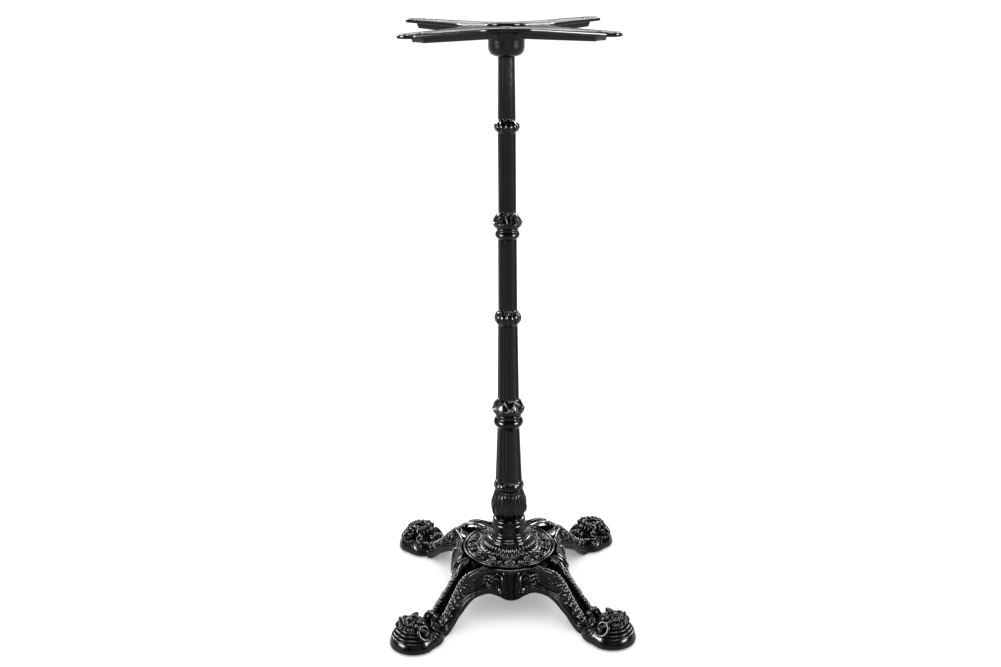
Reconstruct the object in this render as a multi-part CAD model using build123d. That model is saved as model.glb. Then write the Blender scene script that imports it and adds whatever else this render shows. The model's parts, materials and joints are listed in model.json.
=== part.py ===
from build123d import *
import math
import os

os.makedirs("parts", exist_ok=True)

# Cast-iron pedestal base for a bar-height round table: a four-legged foot casting, a rosette hub,
# a fluted column cast in three lengths and a four-armed top plate, all clamped by one long tie rod.
# Millimetres. The origin is on the floor under the column, +Z is up, and the legs and the arms of
# the top plate lie on the diagonals of X and Y.

# --- Driving dimensions ---
TOTAL_HEIGHT = 1080.0
FOOT_REACH = 254.0                        # from the axis to the middle of each foot
FOOT_RADIUS = 46.0
FOOT_RIM_Z = 3.0                          # the castings stand clear of the floor on their pads
WALL = 5.0                                # wall of the castings
FLUTE_COUNT = 8
CORNER_ANGLES = [45, 135, 225, 315]       # legs and arms
SIDE_ANGLES = [0, 90, 180, 270]           # skirts and webs between them

# --- Heights of the joints between the castings ---
HUB_TOP_Z = 135.0
LOWER_TOP_Z = 369.0
MIDDLE_TOP_Z = 727.0
COLUMN_TOP_Z = 1029.0

# --- Tie rod and its M12 hardware ---
ROD_RADIUS = 6.0
ROD_HOLE_RADIUS = 6.75
THREAD_GAP = 0.05
NUT_FLATS = 18.0
NUT_HEIGHT = 10.8
WASHER_RADIUS = 12.0
WASHER_THICKNESS = 2.5
LOCK_WASHER_RADIUS = 10.0
LOCK_WASHER_THICKNESS = 2.5
ROD_END = 4.0                             # thread standing out past each nut

# --- Base casting ---
SKIRT_TOP_Z = 93.0
SKIRT_TOP_RADIUS = 88.0                   # from the axis to the top edge, square to a skirt
SKIRT_FOOT_Z = 40.0
SKIRT_FOOT_RADIUS = 113.0
SKIRT_FOOT_CORNER = (106.0, 66.0)         # forward and aside, where a skirt's foot meets the legs
SKIRT_CORNER_SPREAD = 9.0                 # how much further out both lie at the top
ARCH_CREST = (41.0, 57.0)                 # aside and up, the top of the arch beside each pendant
ARCH_SHOULDER = (22.0, 54.0)
ARCH_SPRING = (66.0, 47.0)                # where the arch meets a leg
PENDANT_CORNER = (13.0, 46.0)
PENDANT_TIP_Z = 43.0
PENDANT_HALF_WIDTH = 12.5
ARCH_START = 62.0                         # the arches are cut from here outwards
DECK_TOP_Z = 68.0
DECK_BOTTOM_Z = 63.0
BOSS_RADIUS = 17.0
BOSS_TOP_Z = 119.0
BOSS_BOTTOM_Z = 57.0

# --- Legs, along the diagonals ---
LEG_START = 75.0
LEG_END = 202.0
LEG_HIGH_Z = 98.0                         # the top line eases from here down to the low height
LEG_LOW_Z = 26.0
EASE_START = 109.0
EASE_LENGTH = 110.0
RIM_WAIST = 150.0                         # where the rims come closest together
RIM_HALF_WIDTH = 13.4
EDGE_HALF_WIDTH = 29.5                    # the sides flare out to this at their bottom edges
EDGE_HIGH_Z = 50.0
EDGE_BEND_START = 105.0
EDGE_LANDING = 198.0                      # where the bottom edge reaches the height of the foot rims
TROUGH_DEPTH = 20.0

# --- Feet and levelling glides ---
HEEL_REACH = FOOT_REACH - 15
HEEL_RADIUS = FOOT_RADIUS - 2
SHOE_TOP_Z = 29.0
SHOE_ROUNDING = 15.0
SCROLL_REACH = 259.0
SCROLL_Z = 26.0
SCROLL_RADIUS = 25.0
SCROLL_HALF_WIDTH = 27.0
SCROLL_ROUNDING = 11.0
ANKLE_LENGTH = 44.0
ANKLE_HEIGHT = 26.0
FOOT_CAVITY_Z = 22.0
FOOT_WALL = 6.0
FOOT_SHOULDER = 8.0                       # the hollow draws in by this much halfway up
STUD_RADIUS = 4.0
STUD_BOSS_RADIUS = 11.0
STUD_BOSS_Z = 12.0
STUD_TOP_Z = 31.0
STUD_HOLE_TOP_Z = 33.0
PAD_RADIUS = 14.0
PAD_THICKNESS = 4.0
PAD_NECK_RADIUS = 8.5
PAD_NECK_Z = 7.6
STUD_HEAD_RADIUS = 6.0
STUD_HEAD_BOTTOM_Z = 2.5
STUD_HEAD_TOP_Z = 5.5
GLIDE_NUT_FLATS = 13.0

# --- Rosette hub ---
HUB_NECK_RADIUS = 32.6
HUB_RIM_RADIUS = 89.0
HUB_RIM_TOP_Z = 99.5

# --- Top plate ---
PLATE_THICKNESS = 6.0
ARM_REACH = 241.0
ARM_END_RADIUS = 18.0
ARM_ROOT_HALF_WIDTH = 30.0
ARM_ROOT_REACH = 84.0
WEB_RADIUS = 70.5
PLATE_HOLE_RADIUS = 37.0
RIB_HALF_WIDTH = 13.8
RIB_WALL = 4.0
RIB_END_REACH = 206.0
RIB_END_DEPTH = 14.5
RIB_ROOT_DEPTH = 20.0
SCREW_HOLE_RADIUS = 3.25
SCREW_REACHES = [200.0, 230.0]
WEB_SCREW_REACH = 60.5
CUP_RADIUS = 25.5                         # the cup that takes the tie rod's upper nut
TOP_SEAT_Z = 1042.0                       # its floor


def turned(outline):
    """A solid of revolution about Z from a closed outline of (radius, z) points."""
    return revolve(Plane.XZ * make_face(Polyline(outline, close=True)), Axis.Z)


def bead(low, middle, high):
    """A turned bulge: its skin is the arc through three (radius, z) points."""
    skin = ThreePointArc(low, middle, high)
    back = Polyline(high, (0, high[1]), (0, low[1]), low)
    return revolve(Plane.XZ * make_face([skin, back]), Axis.Z)


def disc(radius, low, high):
    return Pos(0, 0, low) * extrude(Circle(radius), high - low)


def ring(outer, inner, low, high):
    return disc(outer, low, high) - disc(inner, low - 1, high + 1)


def hexagon_nut(flats, bore, low, high):
    body = Pos(0, 0, low) * extrude(RegularPolygon(flats / 2, 6, major_radius=False), high - low)
    corner = flats / math.sqrt(3)
    rounding = turned([(0, low), (corner - 1, low), (corner, low + 0.8), (corner, high - 0.8),
                       (corner - 1, high), (0, high)])
    return (body & rounding) - disc(bore, low - 1, high + 1)


def on_corner(angle, reach, shape):
    """A copy of a shape drawn at the axis, moved out along the diagonal at this angle."""
    return Rot(0, 0, angle) * Pos(reach, 0, 0) * shape


# --- Column ---
def fluted_section(radius):
    """A circle with shallow round flutes, separated by narrow flats."""
    flute_radius = radius * 0.36
    flute = Circle(flute_radius)
    section = Circle(radius)
    for i in range(FLUTE_COUNT):
        turn = (i + 0.5) * 360 / FLUTE_COUNT
        section -= Rot(0, 0, turn) * Pos(radius + flute_radius * 0.72, 0) * flute
    return section


def fluted_shaft(low, low_radius, high, high_radius):
    """A tapering length of shaft. The overlap lets it run into the beads at its ends."""
    overlap = 2.0
    return loft([Pos(0, 0, low - overlap) * fluted_section(low_radius),
                 Pos(0, 0, high + overlap) * fluted_section(high_radius)], ruled=True)


LOWER_BORE = 16.0
MIDDLE_BORE = 12.0
UPPER_BORE = 8.5
LOWER_SPIGOT = (20.0, 6.0)                # radius, length
MIDDLE_SPIGOT = (15.0, 8.0)
UPPER_SPIGOT = (12.0, 8.0)
TOP_SPIGOT = (11.5, 6.0)
SPIGOT_GAP = 0.1                          # on the radius, and half a millimetre at the end


def socket(spigot, mouth):
    """The recess that takes a spigot coming down from the plane at this height."""
    radius, length = spigot
    return disc(radius + SPIGOT_GAP, mouth - length - 0.5, mouth + 1)


def column_lower_section():
    collar = disc(32.0, HUB_TOP_Z, 154.0)
    collar_bead = bead((31.0, 153.0), (32.7, 158.6), (26.1, 162.5))
    bulb = bead((26.0, 161.5), (33.3, 185.5), (24.6, 219.0))
    rope_bead = bead((24.6, 218.0), (29.4, 228.8), (25.6, 236.5))
    shaft = fluted_shaft(235.5, 25.4, 347.4, 20.8)
    ring_bead = bead((21.5, 348.0), (27.6, 360.0), (22.5, LOWER_TOP_Z))
    spigot = disc(LOWER_SPIGOT[0], HUB_TOP_Z - LOWER_SPIGOT[1], HUB_TOP_Z + 1)
    body = collar + collar_bead + bulb + rope_bead + shaft + ring_bead + spigot
    return body - disc(LOWER_BORE, HUB_TOP_Z - 10, LOWER_TOP_Z + 1) - socket(MIDDLE_SPIGOT, LOWER_TOP_Z)


def column_middle_section():
    foot = disc(22.5, LOWER_TOP_Z, 375.0)
    knob = bead((23.2, 373.5), (30.1, 386.5), (20.0, 404.5))
    lower_shaft = fluted_shaft(404.0, 19.9, 550.0, 18.0)
    bulge = bead((17.8, 549.0), (24.6, 564.5), (17.4, 577.5))
    upper_shaft = fluted_shaft(577.0, 17.3, 711.0, 16.6)
    ring_bead = bead((16.9, 711.0), (21.8, 720.5), (18.6, MIDDLE_TOP_Z))
    spigot = disc(MIDDLE_SPIGOT[0], LOWER_TOP_Z - MIDDLE_SPIGOT[1], LOWER_TOP_Z + 1)
    body = foot + knob + lower_shaft + bulge + upper_shaft + ring_bead + spigot
    return body - disc(MIDDLE_BORE, LOWER_TOP_Z - 10, MIDDLE_TOP_Z + 1) - socket(UPPER_SPIGOT, MIDDLE_TOP_Z)


def column_upper_section():
    foot = disc(18.8, MIDDLE_TOP_Z, 731.5)
    knob = bead((19.3, 730.0), (26.9, 741.5), (15.9, 758.5))
    lower_shaft = fluted_shaft(758.0, 15.8, 900.0, 15.6)
    bulge = bead((15.6, 899.0), (22.4, 910.5), (15.3, 921.5))
    upper_shaft = fluted_shaft(920.5, 15.3, COLUMN_TOP_Z - 2.0, 14.2)
    spigot = disc(UPPER_SPIGOT[0], MIDDLE_TOP_Z - UPPER_SPIGOT[1], MIDDLE_TOP_Z + 1)
    top_spigot = disc(TOP_SPIGOT[0], COLUMN_TOP_Z - 1, COLUMN_TOP_Z + TOP_SPIGOT[1])
    body = foot + knob + lower_shaft + bulge + upper_shaft + spigot + top_spigot
    return body - disc(UPPER_BORE, MIDDLE_TOP_Z - 10, COLUMN_TOP_Z + 10)


# --- Rosette hub ---
def hub_rosette():
    """A flared cap with a fluted cove and a flat ornament band. It sits on the base's centre boss
    and on the tops of the four skirts."""
    under = 6.0                           # thickness, measured down from the top face
    shell = turned([
        (0, HUB_TOP_Z), (HUB_NECK_RADIUS, HUB_TOP_Z), (40.9, 122.2), (42.4, 119.2), (47.0, 108.5),
        (55.0, 101.2), (60.0, 100.0), (62.0, 98.0), (80.0, 96.0), (84.0, 95.5), (85.5, HUB_RIM_TOP_Z),
        (HUB_RIM_RADIUS, HUB_RIM_TOP_Z - 1), (HUB_RIM_RADIUS, SKIRT_TOP_Z), (82.0, SKIRT_TOP_Z),
        (80.0, 96.0 - under), (57.0, 98.5 - under), (47.0, 101.5 - under), (40.0, 110.0 - under),
        (35.0, BOSS_TOP_Z), (0, BOSS_TOP_Z)])
    return shell - disc(ROD_HOLE_RADIUS, 100, HUB_TOP_Z + 1) - socket(LOWER_SPIGOT, HUB_TOP_Z)


# --- Base casting ---
def plan_outline(side_radius, corner_forward, corner_aside, height):
    """A four-sided outline. Each side is an arc square to X or Y at side_radius from the axis,
    and its ends lie corner_forward along the side's own axis and corner_aside to each side."""
    edges = []
    for angle in SIDE_ANGLES:
        start = Rot(0, 0, angle) * Pos(corner_forward, -corner_aside, 0)
        middle = Rot(0, 0, angle) * Pos(side_radius, 0, 0)
        end = Rot(0, 0, angle) * Pos(corner_forward, corner_aside, 0)
        following = Rot(0, 0, angle + 90) * Pos(corner_forward, -corner_aside, 0)
        edges.append(ThreePointArc(start.position, middle.position, end.position))
        edges.append(Line(end.position, following.position))
    return Pos(0, 0, height) * make_face(edges)


def skirt_body(inset, low, high):
    """The hollow middle of the base between two heights, drawn in by the wall where inset is given."""
    def outline(z):
        share = (z - SKIRT_FOOT_Z) / (SKIRT_TOP_Z - SKIRT_FOOT_Z)
        side = SKIRT_FOOT_RADIUS + share * (SKIRT_TOP_RADIUS - SKIRT_FOOT_RADIUS)
        forward = SKIRT_FOOT_CORNER[0] + share * SKIRT_CORNER_SPREAD
        aside = SKIRT_FOOT_CORNER[1] + share * SKIRT_CORNER_SPREAD
        return plan_outline(side - inset, forward - inset, aside, z)
    return loft([outline(low), outline(high)], ruled=True)


def rim_z(reach):
    """Height of a leg's top line: level at the skirt, then an S-curve down to the foot."""
    share = min(1.0, max(0.0, (reach - EASE_START) / EASE_LENGTH))
    return LEG_LOW_Z + (LEG_HIGH_Z - LEG_LOW_Z) * (1 + math.cos(math.pi * share)) / 2


def rim_half_width(reach):
    outside = max(0.0, reach - RIM_WAIST)
    inside = max(0.0, RIM_WAIST - max(reach, EASE_START))
    return RIM_HALF_WIDTH + 0.1 * outside + 0.006 * inside ** 2


def edge_z(reach):
    """Height of the bottom edges of a leg's two sides: a parabola that lands beside the foot."""
    share = max(0.0, (reach - EDGE_BEND_START) / (EDGE_LANDING - EDGE_BEND_START))
    return max(FOOT_RIM_Z, EDGE_HIGH_Z - (EDGE_HIGH_Z - FOOT_RIM_Z) * share ** 2)


def side_half_width(reach, height):
    """Half the width of a leg at a height, on its flaring sides or in line with them."""
    share = (rim_z(reach) - height) / (rim_z(reach) - edge_z(reach))
    return rim_half_width(reach) + share * (EDGE_HALF_WIDTH - rim_half_width(reach))


def across(reach, high_half_width, high_z, low_half_width, low_z):
    """An upright four-sided face square to the leg."""
    plane = Plane(origin=(reach, 0, 0), x_dir=(0, 1, 0), z_dir=(1, 0, 0))
    return plane * make_face(Polyline((-high_half_width, high_z), (high_half_width, high_z),
                                      (low_half_width, low_z), (-low_half_width, low_z), close=True))


def along_leg(section, end):
    """A solid through a leg's sections, closer together where its top line bends most."""
    stations = [LEG_START, 95, EASE_START, 122, 135, RIM_WAIST, 160, 170, 180, 190, end]
    return loft([section(reach) for reach in stations], ruled=True)


def leg_section(reach):
    return across(reach, rim_half_width(reach), rim_z(reach), EDGE_HALF_WIDTH, edge_z(reach))


def trough_floor_z(reach):
    return min(DECK_TOP_Z, rim_z(reach) - TROUGH_DEPTH)


def trough_section(reach):
    """The open channel along the top of a leg, which starts level with the deck."""
    half_width = rim_half_width(reach) - WALL
    return across(reach, half_width, LEG_HIGH_Z + 5, half_width, trough_floor_z(reach))


def hollow_section(reach):
    """The open underside of a leg, a wall's thickness below the floor of its trough."""
    high = trough_floor_z(reach) - WALL
    low = -10.0
    return across(reach, side_half_width(reach, high) - WALL - 1, high,
                  side_half_width(reach, low) - WALL - 1, low)


def foot():
    """A round paw with a scroll rolled over its top."""
    heel = Pos(HEEL_REACH, 0) * Circle(HEEL_RADIUS)
    toe = Pos(FOOT_REACH, 0) * Circle(FOOT_RADIUS)
    shoe = Pos(0, 0, FOOT_RIM_Z) * extrude(make_hull((heel + toe).edges()), SHOE_TOP_Z - FOOT_RIM_Z)
    shoe = fillet(shoe.faces().sort_by(Axis.Z)[-1].edges(), SHOE_ROUNDING)
    scroll = Rot(90, 0, 0) * extrude(Circle(SCROLL_RADIUS), SCROLL_HALF_WIDTH, both=True)
    scroll = fillet(scroll.edges().filter_by(GeomType.CIRCLE), SCROLL_ROUNDING)
    ankle = Box(ANKLE_LENGTH, 2 * rim_half_width(LEG_END), ANKLE_HEIGHT)
    ankle = Pos(LEG_END + 12, 0, SHOE_TOP_Z - ANKLE_HEIGHT / 2) * ankle
    return shoe + Pos(SCROLL_REACH, 0, SCROLL_Z) * scroll + ankle


def foot_hollow():
    """The open underside of a foot, which leaves a boss for the levelling glide."""
    heel = Pos(HEEL_REACH, 0) * Circle(HEEL_RADIUS - FOOT_WALL)
    toe = Pos(FOOT_REACH, 0) * Circle(FOOT_RADIUS - FOOT_WALL)
    sole_room = Pos(0, 0, -10) * extrude(make_hull((heel + toe).edges()), 10 + FOOT_CAVITY_Z / 2)
    heel_up = Pos(HEEL_REACH, 0) * Circle(HEEL_RADIUS - FOOT_WALL - FOOT_SHOULDER)
    toe_up = Pos(FOOT_REACH, 0) * Circle(FOOT_RADIUS - FOOT_WALL - FOOT_SHOULDER)
    upper_room = extrude(make_hull((heel_up + toe_up).edges()), FOOT_CAVITY_Z)
    scroll_room = extrude(Circle(SCROLL_RADIUS - FOOT_WALL), SCROLL_HALF_WIDTH - FOOT_WALL, both=True)
    room = sole_room + upper_room + Pos(SCROLL_REACH, 0, SCROLL_Z) * Rot(90, 0, 0) * scroll_room
    boss_top = SCROLL_Z + SCROLL_RADIUS - FOOT_WALL + 1
    stud_boss = Pos(FOOT_REACH, 0, 0) * disc(STUD_BOSS_RADIUS, STUD_BOSS_Z, boss_top)
    stud_hole = Pos(FOOT_REACH, 0, 0) * disc(STUD_RADIUS + THREAD_GAP, STUD_BOSS_Z - 1, STUD_HOLE_TOP_Z)
    return (room - stud_boss) + stud_hole


def arch_cutter():
    """What is cut from under each skirt: two arches either side of a hanging point."""
    wide = SKIRT_FOOT_RADIUS + 7
    low = SKIRT_FOOT_Z - 20
    right = [PENDANT_CORNER, ARCH_SHOULDER, ARCH_CREST, ARCH_SPRING, (wide, ARCH_SPRING[1]), (wide, low)]
    left = [(-aside, z) for aside, z in reversed(right)]
    arches = Polyline(left + [(0, PENDANT_TIP_Z)] + right, close=True)
    return Pos(0, -ARCH_START, 0) * extrude(Plane.XZ * make_face(arches), ARCH_START)


def skirt_pendant():
    """The upright bar down the middle of a skirt, leaning out with it to a blunt tip."""
    tip = SKIRT_FOOT_RADIUS + 1
    side = make_face(Polyline((SKIRT_TOP_RADIUS - 6, SKIRT_TOP_Z), (SKIRT_TOP_RADIUS + 3, SKIRT_TOP_Z),
                              (tip + 3, PENDANT_TIP_Z + 7), (tip, PENDANT_TIP_Z + 1),
                              (tip - 7, PENDANT_TIP_Z + 1), close=True))
    return extrude(Plane.XZ * side, PENDANT_HALF_WIDTH, both=True)


def base_casting():
    body = skirt_body(0, SKIRT_FOOT_Z, SKIRT_TOP_Z)
    for angle in SIDE_ANGLES:
        body -= Rot(0, 0, angle) * arch_cutter()
    for angle in CORNER_ANGLES:
        body += Rot(0, 0, angle) * (along_leg(leg_section, LEG_END) + foot())
    body -= skirt_body(WALL, DECK_TOP_Z, SKIRT_TOP_Z + 10)
    body -= skirt_body(WALL, SKIRT_FOOT_Z - 5, DECK_BOTTOM_Z)
    for angle in CORNER_ANGLES:
        body -= Rot(0, 0, angle) * along_leg(trough_section, LEG_END)
        body -= Rot(0, 0, angle) * (along_leg(hollow_section, LEG_END - 6) + foot_hollow())
    for angle in SIDE_ANGLES:
        body += Rot(0, 0, angle) * skirt_pendant()
    body += disc(BOSS_RADIUS, BOSS_BOTTOM_Z, BOSS_TOP_Z)
    return body - disc(ROD_HOLE_RADIUS, 0, BOSS_TOP_Z + 1)


# --- Top plate ---
def plate_outline():
    """The X of four arms with rounded ends, joined by a web with a shallow notch between arms."""
    notch = WEB_RADIUS / math.sqrt(2)
    arm = make_face(Polyline((0, notch), (notch, notch), (ARM_ROOT_REACH, ARM_ROOT_HALF_WIDTH),
                             (RIB_END_REACH, ARM_END_RADIUS + 1),
                             (ARM_REACH - ARM_END_RADIUS, ARM_END_RADIUS),
                             (ARM_REACH - ARM_END_RADIUS, -ARM_END_RADIUS),
                             (RIB_END_REACH, -ARM_END_RADIUS - 1),
                             (ARM_ROOT_REACH, -ARM_ROOT_HALF_WIDTH), (notch, -notch), (0, -notch),
                             close=True))
    arm += Pos(ARM_REACH - ARM_END_RADIUS, 0) * Circle(ARM_END_RADIUS)
    whole = Rot(0, 0, CORNER_ANGLES[0]) * arm
    for angle in CORNER_ANGLES[1:]:
        whole += Rot(0, 0, angle) * arm
    return whole


def arm_rib(inset):
    """The stiffening box under an arm, deeper towards the hub, with a sloping end. Drawn in on its
    sides and end and longer downwards when inset is given, so that it can be cut from the full one."""
    top = TOTAL_HEIGHT - PLATE_THICKNESS
    spare = 10.0 if inset else 0.0
    reach = RIB_END_REACH - inset
    side = make_face(Polyline((20, top), (reach, top), (reach - 5, TOTAL_HEIGHT - RIB_END_DEPTH - spare),
                              (20, TOTAL_HEIGHT - RIB_ROOT_DEPTH - spare), close=True))
    return extrude(Plane.XZ * side, RIB_HALF_WIDTH - inset, both=True)


def top_spider():
    top = TOTAL_HEIGHT
    plate = Pos(0, 0, top - PLATE_THICKNESS) * extrude(plate_outline(), PLATE_THICKNESS)
    for angle in CORNER_ANGLES:
        plate += Rot(0, 0, angle) * (arm_rib(0) - arm_rib(RIB_WALL))
    seat = TOP_SEAT_Z
    hub_skin = ThreePointArc((17, COLUMN_TOP_Z), (28.5, seat - 7.5), (31, seat + 2))
    hub_side = Polyline((31, seat + 2), (31, seat + 16), (34, seat + 24), (44, top - 4), (0, top - 4),
                        (0, COLUMN_TOP_Z), (17, COLUMN_TOP_Z))
    hub = revolve(Plane.XZ * make_face([hub_skin, hub_side]), Axis.Z)
    cup = turned([(0, seat), (20, seat), (CUP_RADIUS, seat + 5), (CUP_RADIUS, seat + 17), (30, seat + 26),
                  (PLATE_HOLE_RADIUS, top - 4), (PLATE_HOLE_RADIUS, top + 1), (0, top + 1)])
    body = plate + hub - cup
    body -= disc(ROD_HOLE_RADIUS, COLUMN_TOP_Z - 1, seat + 1)
    body -= disc(TOP_SPIGOT[0] + SPIGOT_GAP, COLUMN_TOP_Z - 1, COLUMN_TOP_Z + TOP_SPIGOT[1] + 0.5)
    screw_hole = disc(SCREW_HOLE_RADIUS, top - 10, top + 1)
    for angle in CORNER_ANGLES:
        for reach in SCREW_REACHES:
            body -= on_corner(angle, reach, screw_hole)
    for angle in SIDE_ANGLES:
        body -= on_corner(angle, WEB_SCREW_REACH, screw_hole)
    return body


# --- Tie rod and its hardware ---
STACK = WASHER_THICKNESS + LOCK_WASHER_THICKNESS
ROD_TOP_Z = TOP_SEAT_Z + STACK + NUT_HEIGHT + ROD_END
ROD_BOTTOM_Z = BOSS_BOTTOM_Z - STACK - NUT_HEIGHT - ROD_END


def lock_washer(low):
    """A split spring washer."""
    whole = ring(LOCK_WASHER_RADIUS, ROD_RADIUS + 0.3, low, low + LOCK_WASHER_THICKNESS)
    gap = Pos(LOCK_WASHER_RADIUS - 2, 0, low + LOCK_WASHER_THICKNESS / 2) * Rot(0, 0, 35)
    return whole - gap * Box(10, 1.2, 6)


def rod_hardware():
    nut_bore = ROD_RADIUS + THREAD_GAP
    washer_bore = ROD_RADIUS + 0.5
    top = TOP_SEAT_Z
    low = BOSS_BOTTOM_Z
    return {
        "tie_rod": disc(ROD_RADIUS, ROD_BOTTOM_Z, ROD_TOP_Z),
        "tie_rod_top_washer": ring(WASHER_RADIUS, washer_bore, top, top + WASHER_THICKNESS),
        "tie_rod_top_lock_washer": lock_washer(top + WASHER_THICKNESS),
        "tie_rod_top_nut": hexagon_nut(NUT_FLATS, nut_bore, top + STACK, top + STACK + NUT_HEIGHT),
        "tie_rod_bottom_washer": ring(WASHER_RADIUS, washer_bore, low - WASHER_THICKNESS, low),
        "tie_rod_bottom_lock_washer": lock_washer(low - STACK),
        "tie_rod_bottom_nut": hexagon_nut(NUT_FLATS, nut_bore, low - STACK - NUT_HEIGHT, low - STACK),
    }


# --- Levelling glides ---
def glide_stud():
    shank = disc(STUD_RADIUS, STUD_HEAD_TOP_Z - 1, STUD_TOP_Z)
    return shank + disc(STUD_HEAD_RADIUS, STUD_HEAD_BOTTOM_Z, STUD_HEAD_TOP_Z)


def glide_pad():
    """A moulded foot that holds the stud's head, so that the stud turns in it."""
    body = disc(PAD_RADIUS, 0, PAD_THICKNESS)
    body = chamfer(body.faces().sort_by(Axis.Z)[-1].edges(), 1.0)
    body += disc(PAD_NECK_RADIUS, PAD_THICKNESS - 1, PAD_NECK_Z)
    head_room = disc(STUD_HEAD_RADIUS + THREAD_GAP, STUD_HEAD_BOTTOM_Z, STUD_HEAD_TOP_Z + 0.1)
    return body - head_room - disc(STUD_RADIUS + THREAD_GAP, 3, PAD_NECK_Z + 1)


def glide_lock_nuts():
    nut = hexagon_nut(GLIDE_NUT_FLATS, STUD_RADIUS + THREAD_GAP, PAD_NECK_Z + 0.4, STUD_BOSS_Z)
    return Compound(children=[on_corner(angle, FOOT_REACH, nut) for angle in CORNER_ANGLES])


NODES = {
    "base_casting": base_casting(),
    "hub_rosette": hub_rosette(),
    "column_lower_section": column_lower_section(),
    "column_middle_section": column_middle_section(),
    "column_upper_section": column_upper_section(),
    "top_spider": top_spider(),
    "glide_lock_nuts": glide_lock_nuts(),
}
NODES.update(rod_hardware())
for number, corner in enumerate(CORNER_ANGLES, start=1):
    NODES[f"glide_stud_{number}"] = on_corner(corner, FOOT_REACH, glide_stud())
    NODES[f"glide_pad_{number}"] = on_corner(corner, FOOT_REACH, glide_pad())

for name, shape in NODES.items():
    export_step(shape, f"parts/{name}.step")
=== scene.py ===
import bmesh
import bpy
import json
import math
import numpy as np
from mathutils import Matrix, Vector


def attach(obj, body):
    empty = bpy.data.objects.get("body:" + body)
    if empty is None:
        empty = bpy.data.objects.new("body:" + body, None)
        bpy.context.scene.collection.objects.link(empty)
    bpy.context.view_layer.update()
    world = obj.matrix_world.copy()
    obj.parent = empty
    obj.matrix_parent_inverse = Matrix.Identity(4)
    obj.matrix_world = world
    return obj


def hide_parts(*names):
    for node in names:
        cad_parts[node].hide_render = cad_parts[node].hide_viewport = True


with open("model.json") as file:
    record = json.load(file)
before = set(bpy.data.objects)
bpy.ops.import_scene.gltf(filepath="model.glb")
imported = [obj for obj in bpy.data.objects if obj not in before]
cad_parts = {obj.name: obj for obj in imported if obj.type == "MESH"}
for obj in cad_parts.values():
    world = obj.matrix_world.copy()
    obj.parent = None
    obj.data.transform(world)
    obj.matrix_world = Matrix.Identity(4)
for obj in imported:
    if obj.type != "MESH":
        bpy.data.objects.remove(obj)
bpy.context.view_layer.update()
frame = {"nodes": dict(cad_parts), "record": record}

# Shapes are worked out in millimetres in the frame's axes, and become metres in mesh_object().
MM = 0.001
BODY = "frame"
CORNER_ANGLES = [45, 135, 225, 315]  # legs and arms
SIDE_ANGLES = [0, 90, 180, 270]  # skirts between the legs
FLOWER_PETALS = 5

# --- Camera: fitted to the feet, the column and the arm tips ---
CAMERA_LENS = 42.52
CAMERA_DISTANCE = 2041.7
CAMERA_HEIGHT = 1240.8
CAMERA_ASIDE = -13.7
CAMERA_PITCH = 0.3338
CAMERA_ROLL = -0.0078
OBJECT_TURN = 0.028  # how far the object is turned from square to the camera

# --- Column ---
FLUTES = 8
FLUTE_TURN = math.radians(9.25)  # angle of one flute's middle
FLUTE_WIDTH = 0.62  # as a share of a flute's sector
FLUTE_DEPTH = 0.20  # as a share of the shaft's radius
LEAVES = 6
LEAF_TURN = math.radians(-115.2)  # angle of one leaf's middle
BULB = (161.5, 221.0)  # the leafy bulb's lower and upper ends
BULB_LEAVES = (164.0, 208.0)  # its hanging leaves, from tip to root
ROPE = (219.5, 236.0)  # the slanted bead above it
LOWER_SHAFT = (236.5, 348.0)
MIDDLE_KNOB = (387.0, 404.0)
MIDDLE_LIP_Z = 386.2
MIDDLE_SHAFTS = ((404.0, 550.5), (577.0, 712.0))
MIDDLE_LEAF_RING = (551.5, 577.0)
UPPER_KNOB = (742.0, 758.0)
UPPER_LIP_Z = 741.5
UPPER_SHAFTS = ((758.0, 899.5), (921.0, 1040.0))
UPPER_LEAF_RING = (900.0, 921.5)

# --- Legs: the same lines as the casting's ---
LEG_HIGH_Z = 98.0
LEG_LOW_Z = 26.0
EASE_START = 109.0
EASE_LENGTH = 110.0
RIM_WAIST = 150.0
RIM_HALF_WIDTH = 13.4
TROUGH_DEPTH = 20.0
BEAD_PITCH = 13.0  # along a leg's rim

# --- Deck: an octagon under the rosette ---
DECK_TOP_Z = 68.0
DECK_THICKNESS = 5.0
DECK_HALF_WIDTH = 100.5
DECK_CORNER = 73.0  # where its long sides end

# --- Rosette hub ---
ROSETTES = 12
ROSETTE_TURN = math.radians(-91)  # angle of one flower
BAND_RADIUS = 71.0  # of the ring of flowers
REEDS = 36
COVE = (43.2, 55.9)  # the reeded cove's inner and outer radius

# --- Skirts ---
APRON_THICKNESS = 4.5
APRON_BOW = 1.8  # how far a leg's side bows in
PENDANT_HALF_WIDTH = 11.5  # of the upright hollow in a skirt's middle
BAND_HEIGHT = 10.5  # of the plain band along the lower edge
BAND_RISE = 2.8
LEAF_PITCH = 11.0  # of the curled leaves up a leg's side

# --- Feet ---
FOOT_REACH = 254.0
HEEL_REACH = 239.0
FOOT_RADIUS = 45.8
HEEL_RADIUS = 43.8
FOOT_MIDDLE = 248.0  # the paw's skin leans in towards this point
FOOT_SCALE_RADIUS = 45.0  # turns a distance inwards into a scale
DOME_REACH = 259.0  # middle of the scroll's body
DOME_Z = 22.5
DOME_LENGTH = 27.0  # half sizes of the scroll's body
DOME_WIDTH = 28.0
DOME_HEIGHT = 27.0

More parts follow.
